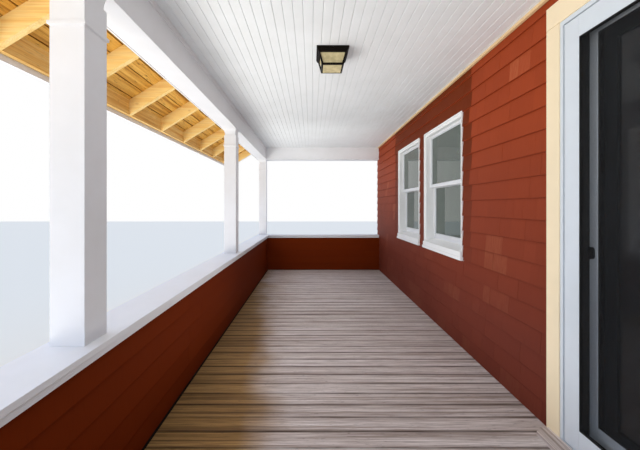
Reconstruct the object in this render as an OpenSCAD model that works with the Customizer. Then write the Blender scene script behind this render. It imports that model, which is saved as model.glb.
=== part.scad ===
// Roofed front porch on the long side of a timber house: three bays of square
// posts on a shingled knee wall, a boarded ceiling, a shed roof with open
// eaves, and the stretch of house wall behind it with two windows and a
// sliding patio door. X runs along the porch, +Y points to the house and Z is
// up. The origin is on the ground, under the middle of the outline.

/* [Plan] */
// Distance between post centres along the front
bay_w = 2495; // [2440:5:2600]
// Clear depth between the knee wall and the house wall
room_d = 2134; // [2050:1:2250]
// Height of the deck above the ground
deck_h = 720; // [640:10:800]
// Thickness of the house wall, with its shingles
wall_t = 150; // [140:1:180]

/* [Knee wall] */
// Height of the cap's top above the deck
cap_h = 670; // [600:1:800]
// Thickness of the knee wall over both of its shingled faces
knee_t = 171; // [160:1:180]
// Width of the cap board
cap_w = 225; // [215:1:240]
// Thickness of the cap board
cap_t = 23; // [18:1:40]

/* [Posts and beams] */
// Side of a square post
post_w = 135; // [120:1:142]
// Height of the beam's underside above the deck
beam_h = 2115; // [2080:1:2160]
// Width of the boxed beam
beam_w = 174; // [156:1:190]
// Height of the ceiling above the deck
ceiling_h = 2350; // [2330:1:2400]

/* [Roof] */
// Rise of the roof for each unit of run
pitch = 0.61; // [0.5:0.01:0.7]
// Distance from the beam's outer face to the fascia's outer face
eave_d = 633; // [580:1:700]
// Distance between rafter centres
rafter_gap = 610; // [560:1:640]
// Depth of a rafter, square to the slope
rafter_d = 113; // [100:1:120]
// Overhang of the roof past the beams at each end
rake_d = 140; // [100:5:200]

/* [Shingles] */
// Height of one course of wall shingles
course = 127; // [120:0.5:140]
// Thickness of a shingle at its lower edge
butt_t = 18; // [14:1:18]
// Thickness that shows at the top of a course
head_t = 8; // [5:1:11]

/* [Windows] */
// Width of a window over its casing
window_w = 930; // [880:5:960]
// Height of the window sill's underside above the deck
window_z = 747; // [720:1:800]
// Height of a window from the sill's underside to the top of the casing
window_h = 1286; // [1220:1:1320]

/* [Patio door] */
// Width of the door frame
door_w = 1830; // [1800:5:1860]
// Height of the door frame above the deck
door_h = 2160; // [2100:5:2180]
// Left edge of the door frame, from the middle of the porch
door_x = 885; // [850:1:920]

/* [Steps] */
// Width of the way in between the stub walls
entry_w = 1200; // [1000:10:1300]
// Depth of one tread
tread_d = 280; // [260:5:300]
// Number of risers up to the deck
risers = 4; // [3:1:5]

/* [Hidden] */

// Colours
red = "#8E4029";
white = "#EDEEF2";
cream = "#F1DDB6";
timber = "#D79A50";
grey_wood = "#85766E";
concrete = "#A9A69F";
slate = "#5A5A5C";
bronze = "#1F1A15";
pane = "#9FB4BE";

// Plan lines along X
posts_x = [for (i = [-1.5 : 1 : 1.5]) i * bay_w];
end_x = posts_x[3];
knee_out = post_w / 2 + 5;
knee_in = knee_t - knee_out;
wall_x = end_x + knee_out;
frame_x = wall_x - butt_t;
room_x = end_x - knee_in;
lip_d = 5;
beam_in = post_w / 2 + lip_d;
beam_out = beam_w - beam_in;
ceiling_x = end_x - beam_in + lip_d;
rake_t = 20;
rake_x = end_x + beam_out + rake_d;

// Plan lines along Y, from the steps' front edge to the back of the wall
nosing = 25;
step_run = (risers - 1) * tread_d + nosing;
back_y = (wall_t + room_d + knee_t + step_run) / 2;
wall_y = back_y - wall_t;
core_y = wall_y + butt_t;
knee_y = wall_y - room_d;
skirt_y = knee_y - knee_t;
post_y = skirt_y + knee_out;
beam_y = post_y - beam_out;
ceiling_y = beam_y + beam_w - lip_d;
fascia_t = 20;
sub_t = 38;
fascia_y = beam_y - eave_d;
tail_y = fascia_y + fascia_t + sub_t;

// Heights, from the ground up
base_h = 150;
board_t = 25;
joist_d = 140;
cap_z = deck_h + cap_h;
core_top = cap_z - cap_t;
beam_z = deck_h + beam_h;
ceiling_z = deck_h + ceiling_h;
ceiling_t = 12;
plate_z = ceiling_z + ceiling_t;
plate_w = 75;
door_z = deck_h + door_h;

// Roof planes: the height over the rafters' lower edge at any y. Each layer's
// rise is a whole hundredth of a millimetre, so that layers meet exactly.
slope_len = sqrt(1 + pitch * pitch);
rafter_t = 38;
sheathing_t = 19;
covering_t = 10;
eave_z = deck_h + 2376;
function rise(thick) = round(100 * thick * slope_len) / 100;
rafter_rise = rise(rafter_d);
sheathing_rise = rise(sheathing_t);
covering_rise = rise(covering_t);
function under(y) = eave_z + pitch * (y - beam_y);
function over(y) = under(y) + rafter_rise;
plate_y = beam_y + beam_w - plate_w;
seat_z = under(ceiling_y);

// Outline of a rafter's level seat, which reaches the beam's inner face
seat = [[beam_y, under(beam_y)], [plate_y, under(plate_y)], [plate_y, seat_z],
    [ceiling_y, seat_z]];

// Shingle courses start a little below the deck, as the first one is cut
first_course = course - 10;
function lap_points(h) = concat([[0, 0]],
    [for (z = [0, each [first_course : course : h - 1]])
        each [[-butt_t, z], [-head_t, min(h, z == 0 ? first_course : z + course)]]],
    [[0, h]]);

// Door places, measured from the shingle face into the wall
jamb_w = 57;
door_head = 52;
door_sill = 40;
screen_at = [-2, 22];
fixed_at = [42, 77];
sliding_at = [94, 129];
play = 6;
casing_w = 91;
head_casing = 121;
door_in = [door_x + jamb_w, door_x + door_w - jamb_w];
door_mid = (door_in[0] + door_in[1]) / 2;
door_open_z = [deck_h + door_sill, door_z - door_head];
overlap = 35;

// Window places
windows_x = [-1778, -679];
window_casing = 41;
liner = 20;
sill_t = 111;
light_x = window_w / 2 - window_casing;
light_z = [deck_h + window_z + sill_t, deck_h + window_z + window_h - window_casing];
hole_x = light_x + liner;
hole_z = [light_z[0] - 2 * liner, light_z[1] + liner];
meeting_z = deck_h + 1437;

// Way in, between white end boards on the stub walls
entry_x = (posts_x[2] + posts_x[3]) / 2;
end_t = 20;
way = [entry_x - entry_w / 2, entry_x + entry_w / 2];
stub_x = [way[0] - end_t, way[1] + end_t];
riser_h = deck_h / risers;

// A block between two planes along each axis
module block(x, y, z) {
    translate([x[0], y[0], z[0]])
        cube([x[1] - x[0], y[1] - y[0], z[1] - z[0]]);
}

// An outline in Y and Z, drawn out along X
module along_x(x, points) {
    translate([x[0], 0, 0])
        rotate([90, 0, 90])
            linear_extrude(x[1] - x[0])
                polygon(points);
}

// A slanting layer of the roof between two heights over the rafters' lower edge
module roof_layer(x, y, low, high) {
    along_x(x, [for (p = [[y[0], low], [y[1], low], [y[1], high], [y[0], high]])
        [p[0], under(p[0]) + p[1]]]);
}

// Lapped courses on a wall that faces -Y, with their backs on the plane y = 0
module lapped(x, h) {
    along_x(x, lap_points(h));
}

// The same courses on a wall that faces along X, towards side * X
module lapped_end(side, face_x, y, z, h) {
    translate([side * face_x, 0, z])
        rotate([0, 0, 90])
            mirror([0, side > 0 ? 0 : 1, 0])
                lapped(y, h);
}

// A flat ring in the XZ plane: an outer frame less its opening
module ring(x, y, z, stile, top, bottom) {
    difference() {
        block(x, y, z);
        block([x[0] + stile, x[1] - stile], [y[0] - 1, y[1] + 1],
            [z[0] + bottom, z[1] - top]);
    }
}

// Concrete footing walls under the three open sides, and the house's own
module foundation() {
    color(concrete) {
        difference() {
            block([-wall_x, wall_x], [skirt_y, back_y], [0, base_h]);
            block([-room_x, room_x], [knee_y, core_y], [-1, base_h + 1]);
        }
        block([-frame_x, frame_x], [core_y, back_y], [base_h - 1, deck_h]);
    }
}

// Boxed frame that closes the crawl space between the footing and the deck
module skirt_frame() {
    top = deck_h - board_t;
    in_x = room_x + butt_t;
    color(timber)
        difference() {
            block([-frame_x, frame_x], [skirt_y + butt_t, core_y], [base_h, top]);
            block([-in_x, in_x], [knee_y - butt_t, core_y + 1],
                [base_h - 1, top + 1]);
        }
}

// Bearers across the porch, and joists along it on top of them
module floor_frame() {
    joist_z = deck_h - board_t - joist_d;
    in_x = room_x + butt_t;
    in_y = knee_y - butt_t;
    rows = 6;
    step_y = (core_y - in_y - rafter_t) / (rows - 1);
    bearer_w = 90;
    last = end_x - bay_w / 2;
    color(timber) {
        for (x = [-last : bay_w / 2 : last])
            block([x - bearer_w / 2, x + bearer_w / 2], [in_y, core_y],
                [joist_z - joist_d, joist_z]);
        for (i = [0 : rows - 1])
            block([-in_x, in_x], [in_y + i * step_y, in_y + i * step_y + rafter_t],
                [joist_z, joist_z + joist_d]);
    }
}

// Deck boards, which reach over the skirt frame in the way in
module deck_boards() {
    in_x = room_x + butt_t;
    z = [deck_h - board_t, deck_h];
    color(grey_wood) {
        block([-in_x, in_x], [knee_y - butt_t, core_y], z);
        block(way, [skirt_y - nosing, knee_y], z);
    }
}

// Side strings and risers of the entry steps
module step_stringers() {
    string_t = 38;
    riser_t = 20;
    outer = entry_w / 2;
    steps = risers - 1;
    color(white) {
        for (side = [-1, 1])
            along_x([entry_x + side * (outer - string_t / 2) - string_t / 2,
                    entry_x + side * (outer - string_t / 2) + string_t / 2],
                concat([[skirt_y, 0]],
                    [for (i = [0 : steps - 1]) each [
                        [skirt_y - (steps - i) * tread_d,
                            i == 0 ? 0 : i * riser_h - board_t],
                        [skirt_y - (steps - i) * tread_d,
                            (i + 1) * riser_h - board_t]]],
                    [[skirt_y, steps * riser_h - board_t]]));
        for (i = [0 : steps - 1]) {
            y = skirt_y - (steps - i) * tread_d;
            block([entry_x - outer + 1, entry_x + outer - 1], [y, y + riser_t],
                [i == 0 ? 0 : i * riser_h - board_t, (i + 1) * riser_h - board_t]);
        }
    }
}

// Treads with a nosing over the riser below
module step_treads() {
    steps = risers - 1;
    color(grey_wood)
        for (i = [1 : steps])
            block([entry_x - entry_w / 2 - nosing, entry_x + entry_w / 2 + nosing],
                [skirt_y - (steps - i + 1) * tread_d - nosing,
                    skirt_y - (steps - i) * tread_d],
                [i * riser_h - board_t, i * riser_h]);
}

// One stretch of the framed knee wall between its shingled faces
module knee_core(x, y) {
    color(timber)
        block(x, y, [deck_h - board_t, core_top]);
}

module front_knee_wall() {
    knee_core([-frame_x, stub_x[0]], [skirt_y + butt_t, knee_y - butt_t]);
}

module entry_knee_wall() {
    knee_core([stub_x[1], frame_x], [skirt_y + butt_t, knee_y - butt_t]);
}

module left_knee_wall() {
    knee_core([-frame_x, -room_x - butt_t], [knee_y - butt_t, core_y]);
}

module right_knee_wall() {
    knee_core([room_x + butt_t, frame_x], [knee_y - butt_t, core_y]);
}

// Shingled faces that look into the porch
module inner_shingles() {
    h = core_top - deck_h;
    color(red) {
        translate([0, knee_y - butt_t, deck_h])
            mirror([0, 1, 0]) {
                lapped([-room_x, stub_x[0]], h);
                lapped([stub_x[1], room_x], h);
            }
        for (side = [-1, 1])
            lapped_end(-side, -(room_x + butt_t), [knee_y - butt_t, core_y],
                deck_h, h);
    }
}

// Shingled end of the porch: skirt, knee wall, gable and the house wall's edge
module end_shingles(side) {
    intersection() {
        lapped_end(side, frame_x, [skirt_y + butt_t, back_y], base_h,
            over(back_y) - base_h);
        along_x([-wall_x - 1, wall_x + 1], [
            [skirt_y + butt_t, base_h], [back_y, base_h],
            [back_y, over(back_y)], [beam_y, over(beam_y)], each seat,
            [ceiling_y, plate_z], [core_y, plate_z],
            [core_y, core_top], [skirt_y + butt_t, core_top]]);
    }
}

// Shingled faces that look out, with the stretch below the way in
module outer_shingles() {
    h = core_top - base_h;
    color(red) {
        translate([0, skirt_y + butt_t, base_h]) {
            lapped([-wall_x, stub_x[0]], h);
            lapped(stub_x, deck_h - board_t - base_h);
            lapped([stub_x[1], wall_x], h);
        }
        for (side = [-1, 1])
            end_shingles(side);
    }
}

// White cap board with its apron strips, and the boards that end the stub walls
module cap_rail() {
    in = knee_in + 22;
    out = cap_w - in;
    apron_t = 12;
    apron_h = 30;
    apron_z = [core_top - apron_h, core_top];
    y = [post_y - out, post_y + in];
    color(white) {
        for (side = [-1, 1])
            mirror([side > 0 ? 0 : 1, 0, 0]) {
                near = side > 0 ? stub_x[1] : -stub_x[0];
                block([near - end_t - nosing, end_x + out], y, [core_top, cap_z]);
                block([end_x - in, end_x + out], [y[0], wall_y], [core_top, cap_z]);
                block([near - end_t, near], [skirt_y, knee_y], [deck_h, core_top]);
                block([near - end_t, wall_x + apron_t],
                    [skirt_y - apron_t, skirt_y], apron_z);
                block([wall_x, wall_x + apron_t], [skirt_y - apron_t, wall_y],
                    apron_z);
                block([near - end_t, room_x], [knee_y, knee_y + apron_t], apron_z);
                block([room_x - apron_t, room_x], [knee_y, wall_y], apron_z);
            }
    }
}

// One side of a post, from the cap up: [reach out from the axis, height], with a
// neck moulding, and a hollow flare that starts behind the shaft's upper edge and
// ends at top under the beam
function post_side(top) = concat(
    [[post_w / 2, cap_z], [post_w / 2, neck_z - neck_taper],
        [post_w / 2 + neck_d, neck_z],
        [post_w / 2 + neck_d, neck_z + neck_h], [post_w / 2, neck_z + neck_h],
        [post_w / 2, flare_z]],
    [for (i = [0 : flare_steps]) let (turn = 90 * i / flare_steps)
        [flare_in + (top - flare_in) * (1 - cos(turn)),
            flare_z + (beam_z - flare_z) * sin(turn)]]);

// A post's outline across one axis, from its two sides
function post_outline(low, high) = concat(post_side(high),
    [for (i = [len(post_side(low)) - 1 : -1 : 0])
        [-post_side(low)[i][0], post_side(low)[i][1]]]);

// A square post that stands on the cap and carries the beam, mitred at its corners
neck_z = deck_h + 1911;
neck_taper = 5;
neck_h = 13;
neck_d = 7;
flare_z = deck_h + 2036;
flare_in = post_w / 2 - 8;
flare_out = min(beam_out, post_w / 2 + 33);
flare_steps = 8;
module post(i) {
    reach = 2 * post_w;
    color(white)
        translate([posts_x[i], post_y, 0])
            intersection() {
                along_x([-reach, reach], post_outline(beam_out, beam_in));
                rotate([0, 0, 90])
                    along_x([-reach, reach], post_outline(flare_out, flare_out));
            }
}

// Boxed beam along the front, its top cut to seat the rafters. Its bottom board
// stands a little proud inside, and a flat strip runs below the ceiling.
trim_t = 6;
trim_h = 38;
lip_h = 12;
module front_beam() {
    x = end_x + beam_out;
    color(white) {
        along_x([-x, x], [each seat, [ceiling_y, beam_z], [beam_y, beam_z]]);
        block([-ceiling_x, ceiling_x], [ceiling_y - 1, ceiling_y + lip_d],
            [beam_z, beam_z + lip_h]);
        block([-ceiling_x, ceiling_x], [ceiling_y - 1, ceiling_y + trim_t],
            [ceiling_z - trim_h, ceiling_z]);
    }
}

// Boxed beam across an end, from the front beam to the house wall
module end_beam(side) {
    color(white)
        mirror([side > 0 ? 0 : 1, 0, 0]) {
            block([ceiling_x, end_x + beam_out], [ceiling_y, core_y],
                [beam_z, plate_z]);
            block([ceiling_x - lip_d, ceiling_x + 1], [ceiling_y + lip_d, wall_y],
                [beam_z, beam_z + lip_h]);
            block([ceiling_x - trim_t, ceiling_x + 1], [ceiling_y + trim_t, wall_y],
                [ceiling_z - trim_h, ceiling_z]);
        }
}

// Boarded ceiling between the beams and the house wall
module ceiling_boards() {
    color(white)
        block([-ceiling_x, ceiling_x], [ceiling_y, core_y], [ceiling_z, plate_z]);
}

// Cream strip in the corner of ceiling and house wall
module ceiling_strip() {
    strip = 19;
    x = ceiling_x - trim_t;
    color(cream)
        block([-x, x], [wall_y - strip, wall_y], [ceiling_z - strip, ceiling_z]);
}

// Rafters with a level seat on the plate, and a fly rafter behind each rake
rafter_shift = 280;
module rafters() {
    rows = floor((room_x + rafter_shift) / rafter_gap);
    first_x = rafter_shift - rows * rafter_gap;
    fly_x = rake_x - rake_t - rafter_t / 2;
    color(timber)
        difference() {
            for (x = [-fly_x, each [first_x : rafter_gap : room_x - rafter_t], fly_x])
                roof_layer([x - rafter_t / 2, x + rafter_t / 2],
                    [tail_y, abs(x) < wall_x ? core_y : back_y], 0, rafter_rise);
            block([-wall_x, wall_x], [plate_y, ceiling_y], [deck_h, seat_z]);
        }
}

// A board along the eave, level below and cut to the roof's slope above
module eave_board(half, y, low) {
    along_x([-half, half], [[y[0], low], [y[1], low], [y[1], over(y[1])],
        [y[0], over(y[0])]]);
}

// Bare board across the rafter tails
module sub_fascia() {
    color(timber)
        eave_board(rake_x - rake_t, [tail_y - sub_t, tail_y], under(tail_y));
}

// White fascia in front of it, a little deeper
module fascia() {
    color(white)
        eave_board(rake_x, [fascia_y, fascia_y + fascia_t], under(fascia_y));
}

// White boards up the two rakes
module barge_boards() {
    drop = 12;
    color(white)
        for (x = [-rake_x, rake_x - rake_t])
            roof_layer([x, x + rake_t], [fascia_y + fascia_t, back_y],
                -drop, rafter_rise);
}

// Framed triangles between the end beams and the roof
module gable_walls() {
    stud = 89;
    color(timber)
        for (side = [-1, 1])
            mirror([side > 0 ? 0 : 1, 0, 0])
                along_x([frame_x - stud, frame_x], [each seat,
                    [ceiling_y, plate_z], [core_y, plate_z],
                    [core_y, over(core_y)], [beam_y, over(beam_y)]]);
}

// Roof boards on the rafters
module roof_sheathing() {
    color(timber)
        roof_layer([-rake_x, rake_x], [fascia_y, back_y], rafter_rise,
            rafter_rise + sheathing_rise);
}

// Roof covering, with a small drip past the fascia and the rakes
module roof_covering() {
    drip = 15;
    low = rafter_rise + sheathing_rise;
    color(slate)
        roof_layer([-rake_x - drip, rake_x + drip], [fascia_y - drip, back_y],
            low, low + covering_rise);
}

// A stretch of the house wall's frame up to the roof boards
module house_core(x, z) {
    along_x(x, [[core_y, z], [back_y, z], [back_y, over(back_y)],
        [core_y, over(core_y)]]);
}

module house_wall_left() {
    color(cream)
        difference() {
            house_core([-frame_x, door_x], deck_h);
            for (x = windows_x)
                block([x - hole_x, x + hole_x], [core_y - 1, back_y + 1], hole_z);
        }
}

module house_wall_over_door() {
    color(cream)
        house_core([door_x, door_x + door_w], door_z);
}

module house_wall_right() {
    color(cream)
        house_core([door_x + door_w, frame_x], deck_h);
}

// Shingles on the house wall between deck and ceiling
module house_shingles() {
    color(red)
        difference() {
            translate([0, core_y, deck_h])
                lapped([-wall_x, wall_x], ceiling_h);
            for (side = [0, 1])
                mirror([side, 0, 0]) {
                    block([room_x, wall_x + 1], [wall_y - 1, core_y + 1],
                        [deck_h - 1, core_top]);
                    block([ceiling_x, wall_x + 1], [wall_y - 1, core_y + 1],
                        [beam_z, ceiling_z + 1]);
                }
            for (x = windows_x) {
                z = deck_h + window_z;
                block([x - window_w / 2, x + window_w / 2],
                    [wall_y - 1, core_y + 1], [z, z + window_h]);
                block([x - window_w / 2 - sill_lip, x + window_w / 2 + sill_lip],
                    [wall_y - 1, core_y + 1], [z, z + lip_top]);
            }
            block([door_x - casing_w, door_x + door_w + casing_w],
                [wall_y - 1, core_y + 1], [deck_h - 1, door_z + head_casing]);
        }
}

// Casing, sill and lining of one window, with its middle at x. The casing has a
// raised outer band; the sill slopes out from the lower sash over a longer lip.
band_w = 15;
step_d = 12;
sill_lip = 14;
lip_top = 29;
nosing_top = 73;
module window_casing_at(x) {
    half = window_w / 2;
    face = wall_y - 5;
    sill_face = wall_y - 16;
    lip_face = wall_y - 21;
    z = deck_h + window_z;
    top = z + window_h;
    difference() {
        union() {
            block([x - half, x + half], [face, core_y], [z + lip_top - 1, top]);
            block([x - hole_x, x + hole_x], [core_y - 1, back_y], hole_z);
        }
        block([x - light_x, x + light_x], [face - 1, back_y + 1],
            [z + lip_top + 1, light_z[1]]);
        block([x - half + band_w, x + half - band_w], [face - 1, face + step_d],
            [z + lip_top + 1, top - band_w]);
    }
    along_x([x - light_x, x + light_x], [
        [sill_face, z + lip_top], [core_y, z + lip_top], [core_y, hole_z[0]],
        [back_y, hole_z[0]], [back_y, light_z[0]], [wall_y + lower_at, light_z[0]],
        [sill_face, z + nosing_top]]);
    for (side = [[-half, -light_x], [light_x, half]])
        block([x + side[0], x + side[1]], [sill_face, face + step_d],
            [z + lip_top - 1, z + nosing_top]);
    block([x - half - sill_lip, x + half + sill_lip], [lip_face, core_y],
        [z, z + lip_top]);
}

module window_casings() {
    color(white)
        for (x = windows_x)
            window_casing_at(x);
}

// Sashes of one window, the upper one nearer to the porch
rail = 21;
meeting_rail = 35;
bottom_rail = 50;
sash_t = 33;
upper_at = 55;
lower_at = 98;
glass_at = 14;

module window_sashes() {
    y = [wall_y + upper_at, wall_y + lower_at];
    color(white)
        for (x = windows_x) {
            side = [x - light_x, x + light_x];
            ring(side, [y[0], y[0] + sash_t],
                [meeting_z - meeting_rail / 2, light_z[1]], rail, rail, meeting_rail);
            ring(side, [y[1], y[1] + sash_t],
                [light_z[0], meeting_z + meeting_rail / 2], rail, meeting_rail,
                bottom_rail);
        }
}

module window_glass() {
    glass_t = 6;
    y = [wall_y + upper_at + glass_at, wall_y + lower_at + glass_at];
    color(pane)
        for (x = windows_x) {
            side = [x - light_x + rail, x + light_x - rail];
            block(side, [y[0], y[0] + glass_t],
                [meeting_z + meeting_rail / 2, light_z[1] - rail]);
            block(side, [y[1], y[1] + glass_t],
                [light_z[0] + bottom_rail, meeting_z - meeting_rail / 2]);
        }
}

// Cream boards beside and over the patio door
module door_casing() {
    proud = 10;
    color(cream)
        difference() {
            block([door_x - casing_w, door_x + door_w + casing_w],
                [wall_y - proud, core_y], [deck_h, door_z + head_casing]);
            block([door_x, door_x + door_w], [wall_y - proud - 1, core_y + 1],
                [deck_h - 1, door_z]);
        }
}

// White door frame: a thin band round the pocket of the screen, and deeper
// jambs, head and sill round the two glazed panels behind it
band = 20;
screen_z = [deck_h + 16, door_z - band - 8];
module door_frame() {
    proud = 4;
    behind = wall_y + screen_at[1] + play;
    color(white)
        difference() {
            block([door_x, door_x + door_w], [wall_y - proud, back_y],
                [deck_h, door_z]);
            block([door_x + band, door_x + door_w - band], [wall_y - proud - 1, behind],
                [screen_z[0] - play, screen_z[1] + play]);
            block(door_in, [behind - 1, back_y + 1], door_open_z);
        }
}

// A glazed panel of the door: stiles and rails round one opening
module panel(x, at, gap) {
    ring(x, [wall_y + at[0], wall_y + at[1]],
        [door_open_z[0] + gap, door_open_z[1] - gap], stile_w, stile_w, foot_rail);
}

// The glass that fills such a panel, in the middle of its thickness
module panel_glass(x, at, gap) {
    glass_t = 20;
    mid = wall_y + (at[0] + at[1]) / 2;
    block([x[0] + stile_w, x[1] - stile_w], [mid - glass_t / 2, mid + glass_t / 2],
        [door_open_z[0] + gap + foot_rail, door_open_z[1] - gap - stile_w]);
}

fixed_x = [door_mid - overlap, door_in[1]];
sliding_x = [door_in[0] + play, door_mid + overlap];
stile_w = 46;
foot_rail = 90;

module fixed_panel() {
    color(white)
        panel(fixed_x, fixed_at, 0);
}

module fixed_glass() {
    color(pane)
        panel_glass(fixed_x, fixed_at, 0);
}

module sliding_panel() {
    color(white)
        panel(sliding_x, sliding_at, play);
}

module sliding_glass() {
    color(pane)
        panel_glass(sliding_x, sliding_at, play);
}

// Black latch with round ends on the sliding panel's outer face, by the jamb
module door_latch() {
    latch_r = 15;
    latch_d = 10;
    x = sliding_x[0] + latch_r + 2;
    y = wall_y + sliding_at[0];
    z = [deck_h + 950 + latch_r, deck_h + 1010 - latch_r];
    color(bronze) {
        block([x - latch_r, x + latch_r], [y - latch_d, y], z);
        for (end = z)
            translate([x, y, end])
                rotate([90, 0, 0])
                    cylinder(r = latch_r, h = latch_d, $fn = 48);
    }
}

// Insect screen in a wide flat frame, in front of the sliding panel
screen_x = [door_x + band + play, door_mid + 50];
screen_stile = 90;
screen_head = 102;
screen_foot = 109;

module screen_panel() {
    color(white)
        ring(screen_x, [wall_y + screen_at[0], wall_y + screen_at[1]], screen_z,
            screen_stile, screen_head, screen_foot);
}

module screen_mesh() {
    mesh_t = 4;
    mid = wall_y + (screen_at[0] + screen_at[1]) / 2;
    color(slate)
        block([screen_x[0] + screen_stile, screen_x[1] - screen_stile],
            [mid - mesh_t / 2, mid + mesh_t / 2],
            [screen_z[0] + screen_foot, screen_z[1] - screen_head]);
}

// Loose grey board on the deck at the foot of the door, its front corners cut
module door_threshold() {
    board_w = 90;
    board_h = 16;
    cut = [36, 42];
    x = [door_x - casing_w + 18, door_x + door_w + casing_w - 18];
    y = [wall_y - 10 - board_w, wall_y - 10];
    color(grey_wood)
        translate([0, 0, deck_h])
            linear_extrude(board_h)
                polygon([[x[0], y[1]], [x[0], y[0] + cut[1]], [x[0] + cut[0], y[0]],
                    [x[1] - cut[0], y[0]], [x[1], y[0] + cut[1]], [x[1], y[1]]]);
}

// Square ceiling lantern: canopy, tapered open frame and frosted panes
lantern_at = [160, knee_y + 995];
canopy_w = 230;
canopy_t = 25;
lantern_top = 205;
lantern_foot = 158;
lantern_h = 95;
bar = 12;
rim = 5;
pane_t = 4;

// The tapered body's outer shape, shrunk by an inset on every side
module lantern_taper(inset) {
    top = lantern_top - 2 * inset;
    foot = lantern_foot - 2 * inset;
    mirror([0, 0, 1])
        linear_extrude(lantern_h, scale = foot / top)
            square(top, center = true);
}

// Openings through two opposite sides of the body, with bars of one width round them
module lantern_opening() {
    top = lantern_top / 2 - bar;
    foot = lantern_foot / 2 - bar;
    rotate([90, 0, 0])
        linear_extrude(2 * lantern_top, center = true)
            polygon([[-foot, bar - lantern_h], [foot, bar - lantern_h],
                [top, -bar], [-top, -bar]]);
}

module lantern_frame() {
    translate([lantern_at[0], lantern_at[1], ceiling_z - canopy_t])
        color(bronze) {
            for (step = [0, 1]) {
                half = canopy_w / 2 - step * rim;
                block([-half, half], [-half, half],
                    step == 0 ? [canopy_t / 2, canopy_t] : [0, canopy_t / 2 + 1]);
            }
            difference() {
                lantern_taper(0);
                lantern_taper(bar);
                for (turn = [0, 90])
                    rotate(turn)
                        lantern_opening();
            }
        }
}

module lantern_glass() {
    translate([lantern_at[0], lantern_at[1], ceiling_z - canopy_t])
        color(cream)
            difference() {
                lantern_taper(bar);
                translate([0, 0, pane_t])
                    lantern_taper(bar + pane_t);
            }
}

foundation();
skirt_frame();
floor_frame();
deck_boards();
step_stringers();
step_treads();
front_knee_wall();
entry_knee_wall();
left_knee_wall();
right_knee_wall();
inner_shingles();
outer_shingles();
cap_rail();
post(0);  // post_1
post(1);  // post_2
post(2);  // post_3
post(3);  // post_4
front_beam();
end_beam(-1);  // left_beam
end_beam(1);  // right_beam
ceiling_boards();
ceiling_strip();
rafters();
sub_fascia();
fascia();
barge_boards();
gable_walls();
roof_sheathing();
roof_covering();
house_wall_left();
house_wall_over_door();
house_wall_right();
house_shingles();
window_casings();
window_sashes();
window_glass();
door_casing();
door_frame();
fixed_panel();
fixed_glass();
sliding_panel();
sliding_glass();
door_latch();
screen_panel();
screen_mesh();
door_threshold();
lantern_frame();
lantern_glass();
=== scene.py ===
# Front porch: square white posts on a red knee wall, boarded ceiling, open
# eaves, shingled house wall with two windows and a sliding patio door.

# Setting out
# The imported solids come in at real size, in metres. The standing place is the
# view down the inside of the porch, at eye height for a seated look.
import math
import random

import bmesh
import bpy
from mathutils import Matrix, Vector, noise


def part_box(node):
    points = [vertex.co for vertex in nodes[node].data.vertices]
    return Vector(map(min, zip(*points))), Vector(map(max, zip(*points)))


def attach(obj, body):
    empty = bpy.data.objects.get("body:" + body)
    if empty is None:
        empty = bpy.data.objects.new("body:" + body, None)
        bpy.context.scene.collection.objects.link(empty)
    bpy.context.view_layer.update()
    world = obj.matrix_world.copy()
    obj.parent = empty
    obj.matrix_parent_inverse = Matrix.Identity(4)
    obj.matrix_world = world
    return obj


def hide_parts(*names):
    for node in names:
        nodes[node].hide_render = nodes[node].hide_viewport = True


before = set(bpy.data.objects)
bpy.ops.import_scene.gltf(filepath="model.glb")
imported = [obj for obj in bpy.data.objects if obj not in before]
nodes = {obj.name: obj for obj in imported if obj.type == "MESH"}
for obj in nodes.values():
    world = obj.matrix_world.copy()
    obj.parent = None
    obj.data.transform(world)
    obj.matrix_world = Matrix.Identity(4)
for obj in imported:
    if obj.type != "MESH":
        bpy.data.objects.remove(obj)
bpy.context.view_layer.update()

deck_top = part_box("deck_boards")[1].z
wall_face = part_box("house_shingles")[0].y

# The image's size, focal length and vanishing point are in pixels.
image_width, image_height = 640, 450
focal_pixels = 323.8
vanishing_x, vanishing_y = 311.5, 206.8
eye_height = 1.208
eye = bpy.data.cameras.new("eye")
eye_object = bpy.data.objects.new("eye", eye)
bpy.context.scene.collection.objects.link(eye_object)
bpy.context.scene.camera = eye_object
eye.sensor_width = 36.0
eye.lens = eye.sensor_width * focal_pixels / image_width
eye.shift_x = (image_width / 2 - vanishing_x) / image_width
eye.shift_y = (vanishing_y - image_height / 2) / image_width
eye.clip_start = 0.02
eye_object.location = (2.562, 0.219, deck_top + eye_height)
eye_object.rotation_euler = (math.radians(90), 0, math.radians(90))

# Light and ground
# A pale sky, a weak high sun, and broad soft lamps for the daylight that comes
# in through the open bays and comes back up from the deck and the ground.


def linear(hex_colour):
    """An sRGB hex colour as linear red, green, blue and alpha."""
    parts = [int(hex_colour[i : i + 2], 16) / 255 for i in (1, 3, 5)]
    return [c / 12.92 if c <= 0.04045 else ((c + 0.055) / 1.055) ** 2.4 for c in parts] + [1.0]


def add_node(tree, kind, inputs=None, **settings):
    """Adds one node, sets its settings, and fills its inputs with values or links."""
    node = tree.nodes.new(kind)
    for key, value in settings.items():
        setattr(node, key, value)
    for key, value in (inputs or {}).items():
        if isinstance(value, bpy.types.NodeSocket):
            tree.links.new(value, node.inputs[key])
        else:
            node.inputs[key].default_value = value
    return node


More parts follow.
